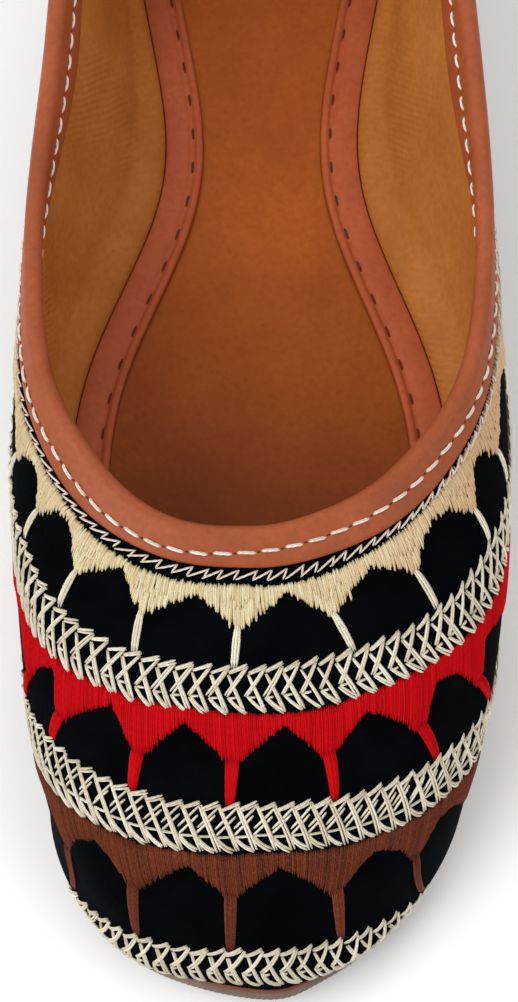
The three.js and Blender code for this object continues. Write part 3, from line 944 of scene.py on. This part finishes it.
def satin(name, finish, stem_finish, seed):
    """The stitches and then the stems of one row."""
    row = SATIN_ROWS[name]
    top, peak, tip = row["top"], row["peak"], row["tip"]
    shoulder, ragged = row["shoulder"], row["ragged"]
    foot = braid_tops[list(SATIN_ROWS).index(name)]
    band = Band(lambda t: (top(t) + foot(t)) / 2, row["end"])
    chance = np.random.default_rng(seed)
    unseen = band.whole - band.along(row["tips"][-1]) + band.along(row["tips"][0])
    count = len(row["tips"]) + round(unseen / STEM_PITCH) - 1
    peaks, tips, feet = [carried_on(band, row[marks], count) for marks in ("peaks", "tips", "feet")]
    sewn = (band.first <= tips) & (tips < band.last)

    # The lower edge runs through the peaks and the shoulders of the stems, and its sides bulge a little.
    corners = np.concatenate([peaks, tips - shoulder, tips + shoulder])
    depths = np.concatenate([peak(band.at(peaks)), tip(band.at(tips)), tip(band.at(tips))])
    order = np.argsort(corners)
    corners = corners[order]
    depths = depths[order]
    w = band.every(SATIN_PITCH)
    w = w + chance.uniform(-0.22, 0.22, len(w)) * ragged
    t = band.at(w)
    place = np.interp(w, corners, np.arange(len(corners)))
    rises = np.abs(np.diff(depths))[np.minimum(place.astype(int), len(corners) - 2)]
    rounded = (row["bulge"] + SIDE_BULGE * np.clip(np.abs(t) - 1.5, 0, 1)) * rises
    edge = np.interp(w, corners, depths) - rounded * np.sin(math.pi * (place % 1))
    start = top(t) + chance.uniform(-1.2, 0.65, len(w)) * ragged
    finish_at = edge + chance.normal(0, ragged, len(w))
    held = (start < wall_length(t) - ROOM_AT_FOOT) & (finish_at - start > SHORTEST_STITCH)
    if row["end"] < RING / 2:
        held &= (w > tips[sewn][0] - shoulder) & (w < tips[sewn][-1] + shoulder)
    t, start, finish_at = t[held], start[held], finish_at[held]

    # A long thread is sewn down part of the way, so it becomes two stitches that lap.
    long = finish_at - start > row["longest"]
    middle = start + (finish_at - start) * chance.uniform(0.35, 0.65, len(t))
    runs = [(t[~long], start[~long], finish_at[~long]),
            (t[long], start[long], middle[long] + SATIN_LAP),
            (t[long] + 0.004, middle[long] - SATIN_LAP, finish_at[long])]
    step = np.linspace(0, 1, len(SATIN_ARCH))[None, :]
    arch = np.array(SATIN_ARCH)[None, :]
    stitches = []
    for run_t, run_start, run_finish in runs:
        lean_w = chance.normal(0, ragged / 3, (len(run_t), 1)) * step
        below = run_start[:, None] + (run_finish - run_start)[:, None] * step
        lift = arch + chance.uniform(-0.05, 0.06, (len(run_t), 1))
        stitches.append((band.at(band.along(run_t)[:, None] + lean_w), below, lift + 0 * below))
    stitched(f"satin_{name}", finish, stitches, chance, SATIN_RADIUS)

    # Each stem starts on the silk above its tip and ends under the braid.
    stitches = []
    width = np.interp(step[0], (0, 0.4, 1), row["stem_widths"]) - 2 * SATIN_RADIUS
    for side in np.linspace(-0.5, 0.5, row["stem_threads"]):
        line_w = tips[:, None] + (feet - tips)[:, None] * step + side * width[None, :]
        line_t = band.at(line_w)
        starts = tip(band.at(tips))[:, None] - STEM_START
        below = starts + (foot(line_t) + STEM_TUCK - starts) * step
        shown = sewn & (below[:, -1] < wall_length(line_t[:, -1]))
        lift = arch + STEM_ROUND * (1 - 4 * side**2) + chance.uniform(-0.04, 0.04, (len(tips), 1))
        stitches.append((line_t[shown], below[shown], lift[shown] + 0 * below[shown]))
    stitched(f"stems_{name}", stem_finish, stitches, chance, SATIN_RADIUS * 1.1)


cream_silk = thread("cream_silk", (0.60, 0.47, 0.25), (0.80, 0.74, 0.48), 0.45, ply=1.4, twist_depth=0.04)
# The silk's colour turns darker and more peach towards both sides of the shoe, by its place across it.
silk_x = cream_silk.part(cream_silk.place(), 0)
peach = silk_x * (silk_x + 0.02) * 400.0 + cream_silk.noise(700.0) * 0.9 - 0.4
cream_colour = cream_silk.mix(peach.rising(0.0, 1.0, 0.75), cream_silk.colour, (0.60, 0.33, 0.17))
cream_silk.set(Base_Color=cream_colour)
red_silk = thread("red_silk", (0.40, 0.001, 0.003), (0.62, 0.003, 0.008), 0.7, ply=1.4, twist_depth=0.04,
                  gloss=0.05)
brown_silk = thread("brown_silk", (0.05, 0.008, 0.002), (0.185, 0.033, 0.009), 0.6, ply=1.4,
                    twist_depth=0.04, gloss=0.15)
# Painted highlights: small tan glints on the brown silk's fibres.
glint_specks = brown_silk.noise(3600.0, 2.0, 0.6).rising(0.5, 0.7, 0.35)
brown_silk.set(Base_Color=brown_silk.mix(glint_specks, brown_silk.colour, (0.32, 0.09, 0.035)))
braid_cotton = thread("braid_cotton", (0.62, 0.52, 0.36), (0.97, 0.91, 0.74), 0.5, ply=1.2, gloss=0.35)
satin("cream", cream_silk, braid_cotton, 21)
satin("red", red_silk, red_silk, 22)
satin("brown", brown_silk, brown_silk, 23)

# Braids
# A wide herringbone of doubled cream thread closes each row. Every stitch is a leaning cap, two long legs
# that cross, and a small leaf where they meet; the next stitch overlaps it.
BRAID_PITCH = 3.05
BRAID_RADIUS = 0.22
BRAID_WIDTH = 8.5
BRAID_SUNK = 0.1
ROOM_UNDER_TOP = 0.9
ROOM_UNDER_MIDDLE = 2.0
RIGHT_SLANT = 0.12
CAP = (-0.7, 2.45, 0.16, 0.01, 0.46, 0.0, 0.30)
TIE = (-0.9, 0.3, 0.67, 0.66, 0.12, 0.0, 0.0)
# For each braid: how far round it reaches, and the strokes of a stitch. A stroke has its start and end
# along the braid in millimetres, its start and end across it as shares, its lift, its bow to one side,
# and how far apart its two strands lie. The middle braid's stitches are drawn out wider.
BRAIDS = (
    (12.0, (CAP, (2.3, -1.25, 0.05, 0.65, 0.32, 0.0, 0.30), (-0.8, 1.65, 0.20, 0.97, 0.20, 0.05, 0.30),
            (-1.15, 1.5, 0.66, 0.985, 0.24, -0.15, 0.30), TIE)),
    (5.8, (CAP, (2.45, -1.6, 0.07, 0.52, 0.12, 0.0, 0.0), (1.7, -1.9, 0.27, 0.66, 0.14, 0.0, 0.0),
           (-0.85, 1.65, 0.06, 0.96, 0.30, 0.1, 0.36), (-1.85, 1.1, 0.68, 0.97, 0.22, -0.3, 0.36),
           (-1.8, 1.2, 0.68, 0.66, 0.1, 0.0, 0.0))),
    (3.0, (CAP, (2.5, -0.9, 0.06, 0.62, 0.32, 0.15, 0.36), (-0.2, 1.9, 0.22, 0.97, 0.20, -0.1, 0.36),
           (-0.95, 1.9, 0.60, 0.98, 0.24, -0.6, 0.32), TIE)),
)
for number, (end, strokes) in enumerate(BRAIDS):
    top = braid_tops[number]
    foot = braid_feet[number]
    band = Band(lambda t: np.minimum((top(t) + foot(t)) / 2, wall_length(t) - ROOM_UNDER_MIDDLE), end)
    chance = np.random.default_rng(30 + number)
    w = band.every(BRAID_PITCH)
    w = w + chance.uniform(-0.12, 0.12, len(w))
    w = w[top(band.at(w)) < wall_length(band.at(w)) - ROOM_UNDER_TOP]
    step = np.linspace(0, 1, 7)[None, :]
    stitches = []
    for w0, w1, h0, h1, lift, bow, apart in strokes:
        shift = chance.uniform(-0.15, 0.15, (len(w), 4))
        run_w = w1 - w0
        run_h = (h1 - h0) * BRAID_WIDTH
        run_length = math.hypot(run_w, run_h)
        for strand in (-0.5, 0.5) if apart else (0.0,):
            aside = strand * (apart * (0.75 + 0.5 * step) + shift[:, 3:]) + bow * np.sin(math.pi * step)
            along = w[:, None] + w0 + shift[:, :1] + (run_w + shift[:, 1:2]) * step
            t = band.at(along + aside * run_h / run_length)
            h = h0 + 0.12 * shift[:, 2:3] + (h1 - h0) * step
            t = band.at(band.along(t) + RIGHT_SLANT * BRAID_WIDTH * (h - 0.5) * np.clip(t, 0, 3))
            below = top(t) + h * (foot(t) - top(t)) - aside * run_w / run_length
            up = -BRAID_SUNK + (lift + 0.15) * np.sin(math.pi * (0.06 + 0.88 * step)) ** 0.6
            stitches.append((t, below, up + 0 * below))
    stitched(f"braid_{number + 1}", braid_cotton, stitches, chance, BRAID_RADIUS, sides=6, tips=0.7)

# Floor, light and camera
# A plain pale floor, soft light from both sides, and a camera almost over the toe, as in the photograph.
# They are no part of the shoe.
IMAGE_HEIGHT = 1002
CAMERA_ELEVATION = math.radians(70)
CAMERA_DISTANCE = 600.0
CAMERA_TARGET = Vector((-0.34, -40.0, 20.0))
FOCAL_PIXELS = 3480.0
SENSOR = 36.0
FLOOR_SIZE = 3
SKY_LIGHT = 0.68
# Each lamp's place in metres, its size and its power in watts; all aim at the shoe.
LAMPS = {
    "key": ((-0.82, -0.32, 0.87), 1.0, 11.5),
    "fill": ((0.8, -0.3, 0.8), 0.9, 3),
    "back": ((0.1, 0.9, 0.8), 0.6, 2),
}

floor_mesh = bmesh.new()
bmesh.ops.create_grid(floor_mesh, x_segments=1, y_segments=1, size=FLOOR_SIZE)
floor_data = bpy.data.meshes.new("floor")
floor_mesh.to_mesh(floor_data)
floor_mesh.free()
floor = put("floor", floor_data)
floor_finish = Finish("floor_paint", Roughness=0.7)
floor_finish.set(Base_Color=floor_finish.noise(3.0).ramp((0.0, (0.86, 0.86, 0.86)), (1.0, (0.9, 0.9, 0.9))))
floor_data.materials.append(floor_finish.material)

world = bpy.data.worlds.new("studio")
world.use_nodes = True
sky = world.node_tree.nodes["Background"].inputs
sky["Color"].default_value = (1, 1, 1, 1)
sky["Strength"].default_value = SKY_LIGHT
bpy.context.scene.world = world
for name, (place, size, power) in LAMPS.items():
    light = bpy.data.lights.new(name, "AREA")
    light.size = size
    light.energy = power
    lamp = put(name, light)
    lamp.location = Vector(place)
    lamp.rotation_euler = (-Vector(place)).to_track_quat("-Z", "Y").to_euler()

back = Vector((0, -math.cos(CAMERA_ELEVATION), math.sin(CAMERA_ELEVATION)))
camera_data = bpy.data.cameras.new("camera")
camera_data.sensor_width = SENSOR
camera_data.lens = FOCAL_PIXELS / IMAGE_HEIGHT * SENSOR
camera_data.clip_start = 0.01
camera = put("camera", camera_data)
camera.location = (CAMERA_TARGET + back * CAMERA_DISTANCE) * MM
camera.rotation_euler = (-back).to_track_quat("-Z", "Y").to_euler()
bpy.context.scene.camera = camera
bpy.context.scene.view_settings.view_transform = "Standard"
